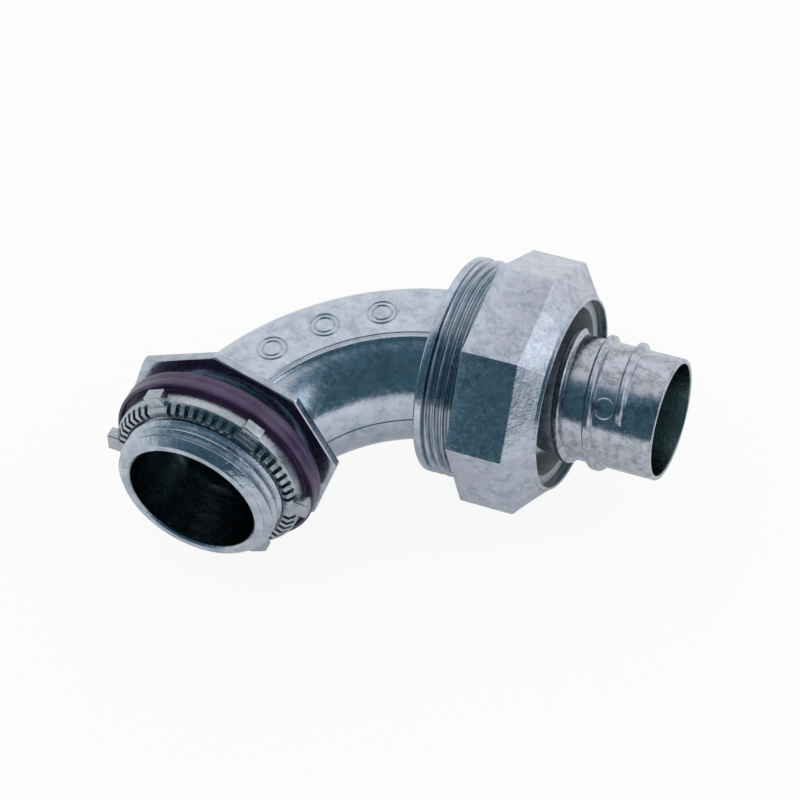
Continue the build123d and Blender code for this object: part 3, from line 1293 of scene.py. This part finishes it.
def floor():
    """A pale floor under the object, which keeps its shadow."""
    place = Vector((object_centre.x, object_centre.y, nut_low.z - floor_gap))
    plane = primitive("floor", bpy.ops.mesh.primitive_plane_add, place, size=floor_size)
    material = bpy.data.materials.new("pale_floor")
    tree = Tree(material)
    cloth = tree.node("ShaderNodeBsdfDiffuse", None, {"Color": floor_colour})
    white = tree.node("ShaderNodeEmission", None, {"Color": colour(1, 1, 1), "Strength": 1.0})
    # Metal sees the floor less white near the object than far out: a painted shadow in its reflections
    far = tree.ramp(tree.away(object_centre, (0, 0, 1)), floor_near, floor_far)
    share = seen(tree, floor_to_camera, floor_near_white + (floor_far_white - floor_near_white) * far)
    shade = tree.node("ShaderNodeMixShader", None, {0: share, 1: cloth, 2: white})
    tree.node("ShaderNodeOutputMaterial", None, {"Surface": shade})
    plane.data.materials.append(material)
    settle(plane)


def softbox(name, azimuth, elevation, distance, size, strength):
    """A soft square lamp that looks at the object. Azimuth 0 is in front, towards -Y, and 90 towards +X."""
    turn, lift = radians(azimuth), radians(elevation)
    away = Vector((sin(turn) * cos(lift), -cos(turn) * cos(lift), sin(lift)))
    data = bpy.data.lights.new(name, "AREA")
    data.shape = "SQUARE"
    data.size = size
    data.energy = strength * pi * size * size
    lamp = bpy.data.objects.new(name, data)
    bpy.context.scene.collection.objects.link(lamp)
    lamp.location = at(object_centre) + away * distance
    lamp.rotation_mode = "QUATERNION"
    lamp.rotation_quaternion = away.to_track_quat("Z", "Y")


def studio():
    """The lamps and the white surroundings. Metal also shows the dark end of the room, where the camera
    stands: a hill-shaped patch, wide at the floor and reaching nearly overhead."""
    world = bpy.data.worlds.new("studio")
    bpy.context.scene.world = world
    tree = Tree(world)
    direction = tree.node("ShaderNodeTexCoord", output="Generated")
    turn = radians(room_azimuth)
    front = tree.dot(direction, (sin(turn), -cos(turn), 0))
    side = tree.dot(direction, (cos(turn), sin(turn), 0))
    up = tree.dot(direction, (0, 0, 1))
    hill = side * side + room_squeeze * up * up
    glossy = tree.node("ShaderNodeLightPath", output="Is Glossy Ray")
    shiny = glossy * tree.ramp(front, 0.0, room_front_fade)
    shade = tree.mix((1 - tree.ramp(hill, *room_rim)) * shiny, room_white, room_teal)
    shade = tree.mix((1 - tree.ramp(hill, *room_core)) * shiny, shade, room_dark)
    strength = ambient + (1 - ambient) * seen(tree, 1.0, 0.2)
    sky = tree.node("ShaderNodeBackground", None, {"Color": shade, "Strength": strength})
    tree.node("ShaderNodeOutputWorld", None, {"Surface": sky})
    softbox("key", 100, 30, 0.75, 0.45, 0.9)
    softbox("back", -155, 42, 0.9, 0.7, 0.2)


def camera():
    """The camera, where the photograph was taken from."""
    data = bpy.data.cameras.new("camera")
    data.sensor_width = sensor_width
    data.lens = lens
    view = bpy.data.objects.new("camera", data)
    bpy.context.scene.collection.objects.link(view)
    roll = Quaternion((0, 0, 1), radians(camera_roll))
    view.location = at(camera_eye)
    view.rotation_mode = "QUATERNION"
    view.rotation_quaternion = (camera_aim - camera_eye).to_track_quat("-Z", "Y") @ roll
    bpy.context.scene.camera = view


camera()
floor()
studio()
bpy.context.scene.view_settings.view_transform = "Standard"
